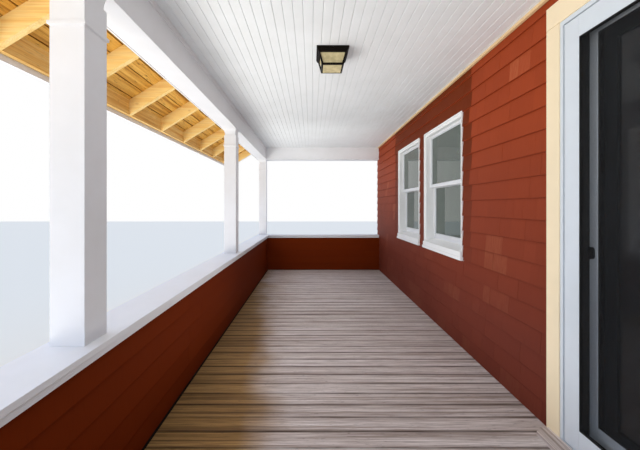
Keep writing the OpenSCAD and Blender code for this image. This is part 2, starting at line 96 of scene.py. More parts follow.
# The sky lights the porch pale blue, and shows as plain white behind it, in the
# glass and on the gloss.
scene = bpy.context.scene
scene.view_settings.view_transform = "Standard"
sky = bpy.data.worlds.new("white_sky")
scene.world = sky
sky.use_nodes = True
sky.node_tree.nodes.clear()
rays = add_node(sky.node_tree, "ShaderNodeLightPath")
seen = rays.outputs["Is Camera Ray"]
for ray in ("Is Glossy Ray", "Is Transmission Ray"):
    seen = add_node(sky.node_tree, "ShaderNodeMath", {0: seen, 1: rays.outputs[ray]},
                    operation="MAXIMUM").outputs[0]
sky_light = add_node(sky.node_tree, "ShaderNodeBackground",
                     {"Color": linear("#CADDFE"), "Strength": 0.95})
sky_seen = add_node(sky.node_tree, "ShaderNodeBackground",
                    {"Color": linear("#FFFFFF"), "Strength": 1.0})
sky_mix = add_node(sky.node_tree, "ShaderNodeMixShader",
                   {0: seen, 1: sky_light.outputs[0], 2: sky_seen.outputs[0]})
add_node(sky.node_tree, "ShaderNodeOutputWorld", {"Surface": sky_mix.outputs[0]})


def add_lamp(name, kind, place, aim, power, colour, **settings):
    """A lamp at a place, pointing at another one."""
    lamp = bpy.data.lights.new(name, kind)
    lamp.energy = power
    lamp.color = linear(colour)[:3]
    for key, value in settings.items():
        setattr(lamp, key, value)
    holder = bpy.data.objects.new(name, lamp)
    scene.collection.objects.link(holder)
    holder.location = place
    direction = Vector(aim) - Vector(place)
    holder.rotation_euler = direction.to_track_quat("-Z", "Y").to_euler()
    holder.visible_camera = False
    holder.visible_glossy = False


add_lamp("sun", "SUN", (0.8, -3.2, 7.2), (0, 0, 0), 0.5, "#FFF6E8", angle=math.radians(4))
# Up from the deck to the ceiling, and in through the bays to the house wall.
add_lamp("floor_glow", "AREA", (0.1, 0.45, deck_top + 0.012), (0.1, 0.45, 4), 14.5, "#F2F7F8",
         shape="RECTANGLE", size=1.8, size_y=1.2)
add_lamp("opening_glow", "AREA", (-0.1, -0.6, deck_top + 1.35), (-0.1, 0.4, deck_top + 1.35), 21,
         "#FBFAF4", shape="RECTANGLE", size=6.8, size_y=0.8)
# Cool light in at the near end and from behind the eye, and on the far end.
add_lamp("near_end", "AREA", (8.5, -0.6, 3.0), (0, 0.2, 1.9), 12, "#DCE8FF", size=4.0)
add_lamp("behind_eye", "AREA", (3.5, 0.2, 2.4), (0, 0.6, 1.5), 12, "#E6F2FF", size=1.6)
add_lamp("far_glow", "AREA", (-2.2, 0.4, deck_top + 1.3), (-3.7, 0.4, deck_top + 2.2), 4,
         "#F6FAF4", size=0.9)
# Warm light from below on the bare wood of the eaves, most of it on the near rafters.
add_lamp("eave_glow", "AREA", (-0.3, -1.4, 0.6), (-0.3, -1.4, 3.0), 16, "#FFFAF0",
         shape="RECTANGLE", size=7.6, size_y=0.9)
add_lamp("eave_near", "AREA", (7.2, -2.4, 1.0), (0, -1.2, 2.8), 28, "#FFF7E4", size=1.4,
         spread=math.radians(90))
add_lamp("rafter_near", "AREA", (3.2, -1.5, 1.9), (1.5, -1.15, 3.0), 1.2, "#FFF6E4", size=0.5,
         spread=math.radians(60))
# The sky's blue on the cap, and the glare of the ground in front of the porch.
add_lamp("cap_glow", "AREA", (-0.1, -1.3, deck_top + 1.6), (-0.1, -0.75, deck_top + 0.67), 5.5,
         "#D2E4FF", shape="RECTANGLE", size=7.0, size_y=0.3, spread=math.radians(80))
add_lamp("front_glow", "AREA", (0, -3.6, 0.08), (0, -3.6, 3.0), 200, "#FFFAF4",
         shape="RECTANGLE", size=8.0, size_y=2.6)


def new_finish(name):
    """A material with its node tree and its principled shader."""
    finish = bpy.data.materials.new(name)
    finish.use_nodes = True
    return finish, finish.node_tree, finish.node_tree.nodes["Principled BSDF"]


reach = 40
ground = bpy.data.meshes.new("ground")
ground.from_pydata([(-reach, -reach, 0), (reach, -reach, 0), (reach, reach, 0),
                    (-reach, reach, 0)], [], [(0, 1, 2, 3)])
ground_object = bpy.data.objects.new("ground", ground)
scene.collection.objects.link(ground_object)
pale_floor, tree, shader = new_finish("pale_floor")
shader.inputs["Base Color"].default_value = linear("#FFF7E6")
shader.inputs["Roughness"].default_value = 0.9
ground.materials.append(pale_floor)

# Footing walls
# Cast concrete, trowelled on its faces, with pores and faint pour lines. It
# carries the skirt frame and the house wall, and stands on the ground.


def cells(tree, size_mm):
    """Where a point lies, counted in cells of size_mm along X, Y and Z."""
    where = add_node(tree, "ShaderNodeTexCoord")
    return add_node(tree, "ShaderNodeVectorMath",
                    {0: where.outputs["Object"], 1: [1000 / mm for mm in size_mm]},
                    operation="MULTIPLY").outputs[0]


tone_shift = 91.7


def stretched_noise(tree, grain_mm, detail=4.0, seed=0.0, tone=None):
    """Noise with cells of grain_mm along X, Y and Z; tone shifts it from board to board."""
    vector = cells(tree, grain_mm)
    if tone is not None:
        shift = add_node(tree, "ShaderNodeVectorMath", {0: tone, "Scale": tone_shift},
                         operation="SCALE")
        vector = add_node(tree, "ShaderNodeVectorMath", {0: vector, 1: shift.outputs[0]},
                          operation="ADD").outputs[0]
    return add_node(tree, "ShaderNodeTexNoise",
                    {"Vector": vector, "W": seed, "Scale": 1.0, "Detail": detail,
                     "Roughness": 0.6}, noise_dimensions="4D").outputs[0]


def ramp(tree, factor, stops):
    """Colours from hex, or greys from numbers, at places between 0 and 1."""
    node = add_node(tree, "ShaderNodeValToRGB", {0: factor})
    while len(node.color_ramp.elements) < len(stops):
        node.color_ramp.elements.new(0.5)
    for element, (place, value) in zip(node.color_ramp.elements, stops):
        element.position = place
        element.color = linear(value) if isinstance(value, str) else (value, value, value, 1)
    return node.outputs[0]


def mix(tree, factor, first, second, blend="MIX"):
    """Two colours mixed by a factor."""
    node = add_node(tree, "ShaderNodeMix", {0: factor, 6: first, 7: second},
                    data_type="RGBA", blend_type=blend)
    return node.outputs[2]


def add_bump(tree, shader, height, depth_mm):
    """Relief of a real depth from a height between 0 and 1."""
    bump = add_node(tree, "ShaderNodeBump",
                    {"Height": height, "Distance": depth_mm / 1000, "Strength": 1.0})
    tree.links.new(bump.outputs[0], shader.inputs["Normal"])


def dress(finish, *names):
    """Gives CAD nodes their finish."""
    for name in names:
        nodes[name].data.materials.clear()
        nodes[name].data.materials.append(finish)


# Cast concrete looks matt and grey, clouded by its pours. The pores are drawn
# three times as wide as they are, so that they show.
concrete, tree, shader = new_finish("cast_concrete")
pores = stretched_noise(tree, (9, 9, 9), detail=6.0)
pours = stretched_noise(tree, (900, 900, 120), detail=3.0, seed=3.0)
colour = ramp(tree, pores, [(0.3, "#8F8B84"), (0.55, "#A5A19A"), (0.8, "#B5B2AB")])
stain = ramp(tree, pours, [(0.35, "#8E887E"), (0.65, "#FFFFFF")])
tree.links.new(mix(tree, 0.6, colour, stain, "MULTIPLY"), shader.inputs["Base Color"])
shader.inputs["Roughness"].default_value = 0.92
add_bump(tree, shader, pores, 1.5)
dress(concrete, "foundation")

# Framing timber
# Spruce for the rafters, the wall frames and the floor frame. Left bare, it
# turns honey yellow, with long brown grain lines and scattered knots.


def along_grain(axis, across_mm, along_mm):
    """Cells that lie lengthwise along axis 0, 1 or 2 (X, Y, Z)."""
    size_mm = [across_mm] * 3
    size_mm[axis] = along_mm
    return size_mm


def board_tone(tree):
    """The tone that each board, shingle or bar of a piece carries."""
    return add_node(tree, "ShaderNodeAttribute", attribute_name="tone").outputs["Color"]


def pine(name, axis, light, mid, dark, streaks=0.35, bark=0.0):
    """Bare softwood with its grain along an axis, and with brown bark flecks as asked."""
    finish, tree, shader = new_finish(name)
    tone = board_tone(tree)
    fibre = stretched_noise(tree, along_grain(axis, 3, 260), detail=5.0, tone=tone)
    band = stretched_noise(tree, along_grain(axis, 26, 800), detail=2.0, seed=5.0, tone=tone)
    colour = ramp(tree, band, [(0.32, dark), (0.47, mid), (0.62, light)])
    lines = ramp(tree, fibre, [(0.34, "#B98648"), (0.55, "#FFFFFF")])
    colour = mix(tree, streaks, colour, lines, "MULTIPLY")
    knots = add_node(tree, "ShaderNodeTexVoronoi",
                     {"Vector": cells(tree, along_grain(axis, 60, 110)), "Scale": 0.42,
                      "Randomness": 1.0})
    knot = ramp(tree, knots.outputs["Distance"], [(0.03, 0.3 + 0.6 * bark), (0.09, 0.0)])
    colour = mix(tree, knot, colour, linear("#A0601C"))
    fleck = stretched_noise(tree, along_grain(axis, 9, 70), detail=3.0, seed=11.0, tone=tone)
    fleck = ramp(tree, fleck, [(0.58, 0.0), (0.66, bark)])
    colour = mix(tree, fleck, colour, linear("#7B4716"))
    tree.links.new(colour, shader.inputs["Base Color"])
    shader.inputs["Roughness"].default_value = 0.62
    shader.inputs["Specular IOR Level"].default_value = 0.3
    add_bump(tree, shader, fibre, 0.6)
    return finish


# Planed rafters are pale and even; sawn framing is darker, with bits of bark.
rafter_wood = pine("planed_spruce_across", 1, "#FFE6A2", "#FFDF93", "#F6CC7A")
frame_wood = pine("sawn_spruce_along", 0, "#FFDF96", "#F4C976", "#DDA956", bark=0.3)
dress(rafter_wood, "rafters", "left_knee_wall", "right_knee_wall", "gable_walls")
dress(frame_wood, "sub_fascia", "skirt_frame", "floor_frame", "front_knee_wall",
      "entry_knee_wall")

# Deck boards
# Stained boards laid across the porch with open joints. Along the house they
# have weathered grey; by the knee wall, which shades them, they are still brown.


def board(low, high, edge):
    """Corners and faces of a board with chamfered edges."""
    low, high = Vector(low), Vector(high)
    points, faces = [], []
    signs = [(a, b, c) for a in (0, 1) for b in (0, 1) for c in (0, 1)]
    for corner in signs:
        for axis in range(3):
            point = []
            for k in range(3):
                inset = 0.0 if k == axis else edge
                point.append(high[k] - inset if corner[k] else low[k] + inset)
            points.append(tuple(point))

    def at(corner, axis):
        return signs.index(tuple(corner)) * 3 + axis

    for axis in range(3):
        u, v = [k for k in range(3) if k != axis]
        for side in (0, 1):
            quad = []
            for a, b in ((0, 0), (1, 0), (1, 1), (0, 1)):
                corner = [0, 0, 0]
                corner[axis], corner[u], corner[v] = side, a, b
                quad.append(at(corner, axis))
            faces.append(quad)
        for a in (0, 1):
            for b in (0, 1):
                ends = []
                for c in (0, 1):
                    corner = [0, 0, 0]
                    corner[u], corner[v], corner[axis] = a, b, c
                    ends.append(corner)
                faces.append([at(ends[0], u), at(ends[1], u), at(ends[1], v), at(ends[0], v)])
    for corner in signs:
        faces.append([at(corner, 0), at(corner, 1), at(corner, 2)])
    return points, faces


shades = random.Random(41)


def toned_board(low, high, edge):
    """A board with a tone of its own."""
    points, faces = board(low, high, edge)
    return points, faces, shades.random()


def join(name, parts, finish, body, *stood_for):
    """One mesh from many (points, faces, tone) parts, with each part's tone as a colour."""
    points, faces, tones = [], [], []
    for part_points, part_faces, tone in parts:
        start = len(points)
        points += [tuple(p) for p in part_points]
        faces += [[start + i for i in face] for face in part_faces]
        tones += [tone] * len(part_faces)
    mesh = bpy.data.meshes.new(name)
    mesh.from_pydata(points, [], faces)
    # Red holds the tone itself; green and blue scatter it, to move the grain.
    shade = mesh.color_attributes.new("tone", "FLOAT_COLOR", "CORNER")
    for face, tone in zip(mesh.polygons, tones):
        for loop in face.loop_indices:
            shade.data[loop].color = (tone, (tone * 7.3) % 1.0, (tone * 3.1) % 1.0, 1.0)
    tidy = bmesh.new()
    tidy.from_mesh(mesh)
    bmesh.ops.recalc_face_normals(tidy, faces=tidy.faces)
    tidy.to_mesh(mesh)
    tidy.free()
    mesh.materials.append(finish)
    piece = bpy.data.objects.new(name, mesh)
    scene.collection.objects.link(piece)
    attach(piece, body)
    if stood_for:
        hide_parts(*stood_for)
    return piece


board_pitch = 0.118
board_gap = 0.002
board_thick = 0.025
board_edge = 0.0025
half_length = 3.662


def deck_wood(name, axis, seams):
    """Worn stain in long light and dark bands, with grain, checks and dirt in the seams."""
    finish, tree, shader = new_finish(name)
    tone = board_tone(tree)
    fine = stretched_noise(tree, along_grain(axis, 2.4, 170), detail=5.0, tone=tone)
    streak = stretched_noise(tree, along_grain(axis, 9, 1100), detail=3.0, seed=2.0, tone=tone)
    band = stretched_noise(tree, along_grain(axis, 34, 2200), detail=2.0, seed=8.0, tone=tone)
    checks = stretched_noise(tree, along_grain(axis, 5, 45), detail=1.0, seed=4.0, tone=tone)
    bands = mix(tree, 0.5, streak, band)
    grey = ramp(tree, bands, [(0.38, "#9D8D83"), (0.5, "#D7CAC5"), (0.62, "#EEE6E3")])
    brown = ramp(tree, bands, [(0.38, "#624520"), (0.5, "#9C7844"), (0.62, "#BA965E")])
    # The brown's edge runs askew along the porch and wanders by up to 0.25 m.
    askew, edge_at, wander_by = 0.137, -0.132, 0.25
    place = add_node(tree, "ShaderNodeSeparateXYZ",
                     {0: add_node(tree, "ShaderNodeTexCoord").outputs["Object"]})
    edge = add_node(tree, "ShaderNodeMath", {0: place.outputs[0], 1: askew, 2: edge_at},
                    operation="MULTIPLY_ADD")
    edge = add_node(tree, "ShaderNodeMath", {0: edge.outputs[0], 1: place.outputs[1]},
                    operation="SUBTRACT")
    wander = stretched_noise(tree, (420, 420, 420), detail=2.0, seed=9.0)
    edge = add_node(tree, "ShaderNodeMath", {0: wander, 1: 2 * wander_by, 2: edge.outputs[0]},
                    operation="MULTIPLY_ADD")
    edge = add_node(tree, "ShaderNodeMath", {0: edge.outputs[0], 1: wander_by},
                    operation="SUBTRACT")
    shaded = add_node(tree, "ShaderNodeMapRange",
                      {"Value": edge.outputs[0], "From Min": -0.16, "From Max": 0.18},
                      interpolation_type="SMOOTHSTEP")
    colour = mix(tree, shaded.outputs[0], grey, brown)
    lines = ramp(tree, fine, [(0.36, "#8F8178"), (0.56, "#FFFFFF")])
    colour = mix(tree, 0.8, colour, lines, "MULTIPLY")
    colour = mix(tree, ramp(tree, checks, [(0.66, 0.0), (0.72, 0.55)]), colour,
                 linear("#4B3F39"))
    if seams:
        # Counted in boards from the far end, with 0 at the edge of each joint.
        joint = 0.017
        across = add_node(tree, "ShaderNodeMath",
                          {0: place.outputs[0], 1: 1 / board_pitch,
                           2: half_length / board_pitch + joint}, operation="MULTIPLY_ADD")
        across = add_node(tree, "ShaderNodeMath", {0: across.outputs[0], 1: 0.5},
                          operation="PINGPONG")
        dirt = ramp(tree, across.outputs[0], [(0.015, "#6A5C54"), (0.05, "#B9AFA8"),
                                              (0.14, "#FFFFFF")])
        caked = stretched_noise(tree, (60, 700, 60), detail=2.0, seed=12.0)
        colour = mix(tree, ramp(tree, caked, [(0.38, 0.35), (0.62, 1.0)]), colour, dirt,
                     "MULTIPLY")
    tree.links.new(colour, shader.inputs["Base Color"])
    tree.links.new(ramp(tree, fine, [(0.3, 0.66), (0.7, 0.52)]), shader.inputs["Roughness"])
    shader.inputs["Specular IOR Level"].default_value = 0.35
    add_bump(tree, shader, fine, 0.5)
    return finish


# Old stain has worn thin along the grain, and dirt darkens the joints.
deck_stain = deck_wood("weathered_deck_stain", 1, True)
# The boards end at the knee wall's core, and run in under the shingles to the
# house wall's. At the way in they reach out to the steps.
butt = 0.018
core_face = wall_face + butt
knee_core = -0.642
way_in = (1.895, 3.095)
deck_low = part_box("deck_boards")[0]
deck_parts = []
for i in range(int(2 * half_length / board_pitch) + 1):
    left = -half_length + i * board_pitch
    right = min(left + board_pitch - board_gap, half_length)
    start = deck_low.y if way_in[0] < left and right < way_in[1] else knee_core
    deck_parts.append(toned_board((left, start, deck_top - board_thick),
                                  (right, core_face, deck_top), board_edge))
decking = join("deck_boarding", deck_parts, deck_stain, "porch", "deck_boards")

# Two such boards make each of the three treads, and one is the threshold.
tread_low, tread_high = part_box("step_treads")
tread_half = 0.305 / 2
tread_gap = 0.004
tread_edge = 0.003
going = 0.28
riser = 0.18
tread_parts = []
for step in range(3):
    top = riser * (step + 1)
    front = tread_low.y + step * going
    for strip in range(2):
        tread_parts.append(toned_board(
            (tread_low.x, front + strip * tread_half + tread_gap / 2, top - board_thick),
            (tread_high.x, front + (strip + 1) * tread_half - tread_gap / 2, top), tread_edge))
tread_stain = deck_wood("weathered_tread_stain", 0, False)
treads = join("step_boarding", tread_parts, tread_stain, "porch", "step_treads")
dress(tread_stain, "door_threshold")

# Red wall shingles
# Split cedar shingles under barn red paint, in level courses 127 mm apart. The lower edge of each
# stands proud over the course below, and painted shadow lines run under it.

# A shingle's tone lies between 0 and 1. The first of these marks a painted shadow line instead,
# and the second is added to shingles in the darker patch round the windows.
shadow_line_tone = -1.0
darker_patch_step = 2


def red_paint(name, darkest, middle, lightest, dust_and_low_shade, foot_shade, shine):
    """Satin paint on combed wood: pale streaks, a darker patch, dust and painted shade lower
    down, painted shade at the foot, and painted shadow lines.
    """
    finish, tree, shader = new_finish(name)
    tone = board_tone(tree)
    split = add_node(tree, "ShaderNodeSeparateColor", {0: tone})
    share = add_node(tree, "ShaderNodeMath", {0: split.outputs[0]}, operation="FRACT")
    comb = stretched_noise(tree, (7, 7, 150), detail=4.0, tone=tone)
    colour = ramp(tree, share.outputs[0], [(0.0, darkest), (0.5, middle), (1.0, lightest)])
    pale = ramp(tree, share.outputs[0], [(0.7, 0.0), (0.85, 1.0)])
    streaks = ramp(tree, comb, [(0.42, 0.1), (0.62, 0.8)])
    streaks = mix(tree, 1.0, pale, streaks, "MULTIPLY")
    colour = mix(tree, streaks, colour, linear("#B4633F"))
    lines = ramp(tree, comb, [(0.3, "#DDD2CC"), (0.5, "#FFFFFF")])
    colour = mix(tree, 0.3, colour, lines, "MULTIPLY")
    # A darker, browner patch on the shingles marked for it, fading out lower down.
    darker_patch_mask = add_node(tree, "ShaderNodeMath", {0: split.outputs[0], 1: darker_patch_step - 0.5},
                    operation="GREATER_THAN")
    place = add_node(tree, "ShaderNodeSeparateXYZ",
                     {0: add_node(tree, "ShaderNodeTexCoord").outputs["Object"]})
    deeper = add_node(tree, "ShaderNodeMapRange",
                      {"Value": place.outputs[2], "From Min": deck_top + 0.6,
                       "From Max": deck_top + 1.7, "To Min": 0.25})
    darker_patch_mask = add_node(tree, "ShaderNodeMath", {0: darker_patch_mask.outputs[0], 1: deeper.outputs[0]},
                    operation="MULTIPLY")
    colour = mix(tree, darker_patch_mask.outputs[0], colour,
                 mix(tree, 1.0, colour, linear("#BAB478"), "MULTIPLY"))
    # Painted shade with dust: darker and browner lower down, where less light reaches the wall.
    dust_and_low_shade_fade = add_node(tree, "ShaderNodeMapRange",
                    {"Value": place.outputs[2], "From Min": deck_top + 1.8,
                     "From Max": deck_top + 0.4, "To Max": dust_and_low_shade})
    colour = mix(tree, dust_and_low_shade_fade.outputs[0], colour, linear("#572B25"))
    # Painted shade at the foot, where the boards meet the deck.
    foot = add_node(tree, "ShaderNodeMapRange",
                    {"Value": place.outputs[2], "From Min": deck_top + 0.34,
                     "From Max": deck_top + 0.02, "To Max": foot_shade})
    colour = mix(tree, foot.outputs[0], colour, linear("#2E0F04"))
    # Painted shadow: strips marked with the shadow line tone turn near black brown.
    under = add_node(tree, "ShaderNodeMath", {0: split.outputs[0], 1: shadow_line_tone + 0.5},
                     operation="LESS_THAN")
    colour = mix(tree, under.outputs[0], colour, linear("#4A190C"))
    tree.links.new(colour, shader.inputs["Base Color"])
    shader.inputs["Roughness"].default_value = 0.6
    shader.inputs["Specular IOR Level"].default_value = shine
    add_bump(tree, shader, comb, 0.3)
    return finish


# On cedar the paint is a dry brick red, darker and browner lower down: dust, and painted shade
# for the weaker light low on the wall.
barn_red = red_paint("barn_red_paint_on_cedar", "#933C1E", "#9F4322", "#AB4D2D", 0.78, 0.05,
                     0.07)
course = 0.127
first = 0.117
head = 0.008
keyway = 0.0008
narrowest = 0.045
uneven_out, uneven_down = 0.0012, 0.0008
backing_thick, backing_tone = 0.0045, 0.1
foot_shadow_high, head_shadow_high = 0.002, 0.004
shingle_shades = random.Random(7)


def even_tone(along, level):
    """Tones close together, for an even coat."""
    return shingle_shades.uniform(0.25, 0.6)


def cut_out(areas, hole):
    """What a hole leaves of some areas, each of them (left, right, low, high)."""
    left_over = []
    for a, b, c, d in areas:
        if hole[0] >= b or hole[1] <= a or hole[2] >= d or hole[3] <= c:
            left_over.append((a, b, c, d))
            continue
        if hole[0] > a:
            left_over.append((a, hole[0], c, d))
        if hole[1] < b:
            left_over.append((hole[1], b, c, d))
        mid = (max(a, hole[0]), min(b, hole[1]))
        if hole[2] > c:
            left_over.append((mid[0], mid[1], c, hole[2]))
        if hole[3] < d:
            left_over.append((mid[0], mid[1], hole[3], d))
    return left_over


wedge_faces = [[0, 1, 3, 2], [4, 6, 7, 5], [1, 5, 7, 3], [0, 2, 6, 4], [0, 4, 5, 1],
               [2, 3, 7, 6]]


def wedge(ends, foot, top, place=lambda along, up, out: (along, up, out)):
    """Corners of a shingle between two ends. foot and top are (level, thickness)."""
    return [place(end, up, out) for up, thick in (foot, top) for end in ends
            for out in (0.0, thick)]


def shingle_parts(widths, span, levels, holes, place, closed=False, tone_at=even_tone,
                  breaks=()):
    """Shingles over a span, round holes, with a joint at each break.

    levels are the lowest, the highest, and the height of the first course.
    place turns (along, up, out) into a point.
    """
    parts = []
    lowest, highest, first_high = levels
    starts = [lowest] + [lowest + first_high + k * course for k in range(80)]
    for bottom, full_top in zip(starts, starts[1:]):
        if bottom >= highest - 0.001:
            break
        areas = [(span[0], span[1], bottom, min(full_top, highest))]
        for hole in holes:
            areas = cut_out(areas, hole)
        for a, b, c, d in areas:
            along = a
            while along < b - 0.002:
                wide = shingle_shades.uniform(*widths)
                for edge in breaks:
                    if along + 0.05 < edge < along + wide:
                        wide = edge - along
                if b - along - wide < narrowest:
                    wide = b - along
                tone = tone_at(along + wide / 2, bottom)
                proud = shingle_shades.uniform(-uneven_out, 0.0)
                drop = shingle_shades.uniform(0.0, uneven_down) if c == bottom else 0.0
                gap = 0.0 if closed else keyway
                profile = []
                for up in (c + drop, d):
                    share = (up - bottom) / (full_top - bottom)
                    profile.append((up, butt + (head - butt) * share + proud))
                ends = (along + gap / 2, along + wide - gap / 2)
                parts.append((wedge(ends, *profile, place), wedge_faces, tone))
                along += wide
            # A thin backing closes the keyways, with painted shadow lines at foot and head.
            strips = [(c, d, backing_thick, backing_tone)]
            if c == bottom:
                strips.append((c, c + foot_shadow_high, butt, shadow_line_tone))
            if d == full_top:
                strips.append((d - head_shadow_high, d, head + 0.0006, shadow_line_tone))
            for low, high, thick, tone in strips:
                corners = wedge((a, b), (low, thick), (high, thick), place)
                parts.append((corners, wedge_faces, tone))
    return parts


wall_end = 3.815
room_end = 3.644
cap_thick = 0.023
core_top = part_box("cap_rail")[1].z - cap_thick
beam_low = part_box("front_beam")[0].z
ceiling_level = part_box("ceiling_boards")[0].z
ceiling_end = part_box("ceiling_boards")[1].x

# Windows, their wider sills and the patio door leave holes in the wall's shingles.
window_middles = (-1.778, -0.679)
casing_half = 0.465
sill_half = 0.479
window_foot = deck_top + 0.747
sill_top = deck_top + 0.776
window_head = deck_top + 2.033
wall_holes = []
for x in window_middles:
    wall_holes.append((x - casing_half, x + casing_half, window_foot, window_head))
    wall_holes.append((x - sill_half, x + sill_half, window_foot, sill_top))
casing_low, casing_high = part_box("door_casing")
wall_holes.append((casing_low.x, casing_high.x, deck_top, casing_high.z))

# So do the end knee walls and the end beams, which run up to it.
for low, high in ((-wall_end - 1, -room_end), (room_end, wall_end + 1)):
    wall_holes.append((low, high, deck_top - 1, core_top))
for low, high in ((-wall_end - 1, -ceiling_end), (ceiling_end, wall_end + 1)):
    wall_holes.append((low, high, beam_low, ceiling_level + 1))
darker_patch_span = (-2.44, -0.06)
darker_patch_from = deck_top + 0.74
bleached_to = 1.9


def wall_tone(along, level):
    """Even paint high up, groups of paler shingles low down, a darker patch round the windows."""
    low_down = max(0.0, 1 - (level - deck_top) / bleached_to)
    tone = shingle_shades.uniform(0.3, 0.5 + 0.2 * low_down)
    if noise.noise((along * 1.9, level * 3.1, 4.2)) > 0.62 - 0.42 * low_down:
        tone = shingle_shades.uniform(0.72, 0.98)
    if darker_patch_span[0] < along < darker_patch_span[1] and level > darker_patch_from:
        tone = darker_patch_step + min(tone, 0.75)
    return tone


house_parts = shingle_parts(
    (0.09, 0.24), (-wall_end, wall_end), (deck_top, ceiling_level, first), wall_holes,
    lambda along, up, out: (along, core_face - out, up), tone_at=wall_tone, breaks=darker_patch_span)
shingled_wall = join("house_wall_shingles", house_parts, barn_red, "porch", "house_shingles")

# Lapped boards of the knee wall
# Long clear boards face the porch, lapped like the shingles, butted tight, under the same red
# paint, drawn darker as painted shade. A black strip on the deck along their foot is painted
# shade for the dark gap there.

# On the boards the red is drawn darker than on the wall, as painted shade for the knee wall's
# shaded face, with more painted shade at the foot.
knee_red_shaded = red_paint("barn_red_paint_on_boards_painted_shade", "#652307", "#6C2708", "#732C0B", 0.0, 0.1,
                     0.03)
knee_parts = []
stub = (1.875, 3.115)
lowest_gap = 0.004
knee_levels = (deck_top + lowest_gap, core_top, first)
board_lengths = (1.6, 2.4)
for span in ((-room_end, stub[0]), (stub[1], room_end)):
    knee_parts += shingle_parts(
        board_lengths, span, knee_levels, [],
        lambda along, up, out: (along, knee_core + out, up), closed=True)
for side in (-1, 1):
    knee_parts += shingle_parts(
        board_lengths, (knee_core, core_face), knee_levels, [],
        lambda along, up, out, side=side: (side * (room_end + butt - out), along, up),
        closed=True)
gap_shade_parts = []
gap_shade_wide = butt + 0.013
gap_shade_low, gap_shade_high, gap_shade_edge = deck_top + 0.0004, deck_top + 0.0016, 0.0003
for low, high in (((-room_end, knee_core), (stub[0], knee_core + gap_shade_wide)),
                  ((stub[1], knee_core), (room_end, knee_core + gap_shade_wide)),
                  ((-room_end - butt, knee_core), (gap_shade_wide - butt - room_end, core_face)),
                  ((room_end + butt - gap_shade_wide, knee_core), (room_end + butt, core_face))):
    gap_shade_parts.append(toned_board((*low, gap_shade_low), (*high, gap_shade_high), gap_shade_edge))
knee_boards = join("knee_wall_boards", knee_parts, knee_red_shaded, "porch", "inner_shingles")


def black_stuff(name, grain_mm, detail, dark, light, roughness, depth_mm, shine=0.5):
    """Black sheet or moulding: a grain between two near blacks, with relief of depth_mm."""
    finish, tree, shader = new_finish(name)
    grain = stretched_noise(tree, (grain_mm, grain_mm, grain_mm), detail=detail)
    tree.links.new(ramp(tree, grain, [(0.3, dark), (0.7, light)]), shader.inputs["Base Color"])
    shader.inputs["Roughness"].default_value = roughness
    shader.inputs["Specular IOR Level"].default_value = shine
    add_bump(tree, shader, grain, depth_mm)
    return finish


# A dead black strip laid on the deck is painted shade for the dark gap under the boards.
gap_shade_sheet = black_stuff("black_sheet_painted_gap_shade", 4, 4.0, "#080707", "#141211", 0.9, 0.3, shine=0.1)
knee_gap_shade = join("knee_wall_painted_gap_shade", gap_shade_parts, gap_shade_sheet, "porch")

# Outer shingles
# The same cedar shingles down the outside of the knee wall and skirt, up the
# gables over the end beams, and on the cut ends of the house wall.

skirt_core = -0.777
base_level = 0.15
above_roof = 5.2
shingle_widths = (0.09, 0.26)
back_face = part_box("house_wall_left")[1].y
entry_hole = (stub[0], stub[1], deck_top - board_thick, core_top + 1)
outer_parts = shingle_parts(
    shingle_widths, (-wall_end, wall_end), (base_level, core_top, first), [entry_hole],
    lambda along, up, out: (along, skirt_core - out, up))
frame_end = wall_end - butt
pitch = 0.61
beam_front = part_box("front_beam")[0].y
fascia_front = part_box("fascia")[0].y
eave_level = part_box("fascia")[0].z + pitch * (beam_front - fascia_front)
rafter_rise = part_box("sub_fascia")[1].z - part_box("sub_fascia")[0].z
plate_level = ceiling_level + 0.012


def roof_under(y):
    """Height of the rafters' lower edge."""
    return eave_level + pitch * (y - beam_front)


# At each end they leave the bay open and the beam over it bare.
for side in (-1, 1):
    outer_parts += shingle_parts(
        shingle_widths, (skirt_core, back_face), (base_level, above_roof, first),
        [(skirt_core - 1, core_face, core_top, plate_level)],
        lambda along, up, out, side=side: (side * (frame_end + out), along, up))
outer = join("outer_wall_shingles", outer_parts, barn_red, "porch", "outer_shingles")

# The gable courses are cut to the slope, flush with the top of the rafters.
cut = bmesh.new()
cut.from_mesh(outer.data)
roof_normal = Vector((0, -pitch, 1)).normalized()
bmesh.ops.bisect_plane(
    cut, geom=cut.verts[:] + cut.edges[:] + cut.faces[:],
    plane_co=(0, beam_front, roof_under(beam_front) + rafter_rise), plane_no=roof_normal,
    clear_outer=True)
bmesh.ops.holes_fill(cut, edges=[e for e in cut.edges if e.is_boundary])
cut.to_mesh(outer.data)
cut.free()

# White joinery
# Finger-jointed pine and plywood under two coats of white exterior paint: cap,
# posts, beams, fascia and step strings, and the newly painted window casings.


def white_paint(name, hex_colour, roughness, edge_mm=2.5):
    """Brushed exterior paint: faint brush lines, orange peel, and edges eased by edge_mm."""
    finish, tree, shader = new_finish(name)
    peel = stretched_noise(tree, (5, 5, 5), detail=3.0)
    patch = stretched_noise(tree, (260, 260, 260), detail=3.0, seed=6.0)
    colour = ramp(tree, patch, [(0.3, "#F8F8F7"), (0.7, "#FFFFFF")])
    colour = mix(tree, 1.0, linear(hex_colour), colour, "MULTIPLY")
    tree.links.new(colour, shader.inputs["Base Color"])
    worn = ramp(tree, patch, [(0.3, roughness - 0.06), (0.7, roughness + 0.06)])
    tree.links.new(worn, shader.inputs["Roughness"])
    eased = add_node(tree, "ShaderNodeBevel", {"Radius": edge_mm / 1000}, samples=4)
    bump = add_node(tree, "ShaderNodeBump",
                    {"Height": peel, "Distance": 0.00025, "Strength": 0.6,
                     "Normal": eased.outputs[0]})
    tree.links.new(bump.outputs[0], shader.inputs["Normal"])
    return finish


